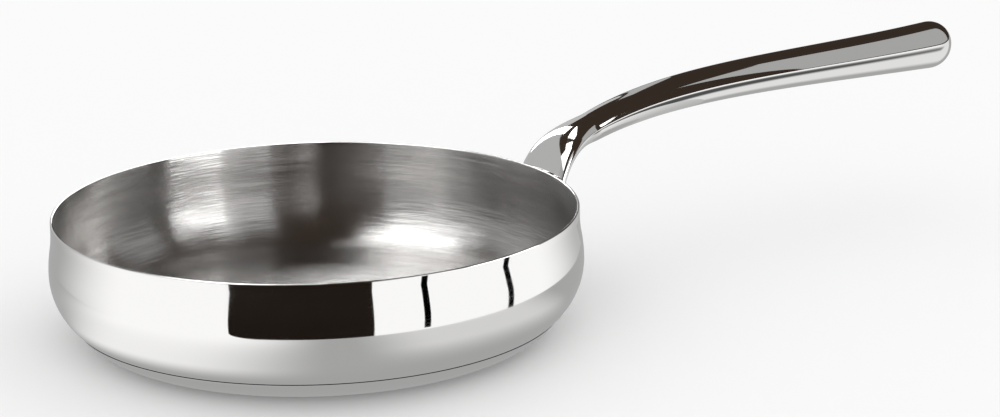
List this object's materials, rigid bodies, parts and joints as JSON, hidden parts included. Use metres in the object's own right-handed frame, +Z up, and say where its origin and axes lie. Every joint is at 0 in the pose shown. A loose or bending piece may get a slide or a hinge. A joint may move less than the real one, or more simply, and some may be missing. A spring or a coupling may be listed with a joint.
{
  "type": "omelette pan",
  "caption": "Low round stainless steel omelette pan with a softly swelling side, a capped heat-spreading base and a long curved hollow handle welded on below the rim.",
  "frame": {"origin": "centre of the flat underside of the base, on the axis of the vessel", "axes": "+Z up along the vessel's axis, +X from the vessel's axis towards the handle's tip, +Y to the left when looking along the handle from the pan"},
  "size_m": [0.4165, 0.203, 0.0794],
  "materials": {
    "vessel_steel": "mirror polished outside, satin with circular brushing inside",
    "spreader_aluminium": "as rolled",
    "cap_steel": "polished edge, fine circular brushing underneath",
    "handle_steel": "mirror polished",
    "weld_steel": "resistance-welded"
  },
  "bodies": {
    "root": {"vessel": "vessel_steel", "heat_spreader": "spreader_aluminium", "base_cap": "cap_steel", "handle_root": "handle_steel", "grip_upper_shell": "handle_steel", "grip_lower_shell": "handle_steel", "foot_welds": "weld_steel"}
  },
  "joints": []
}
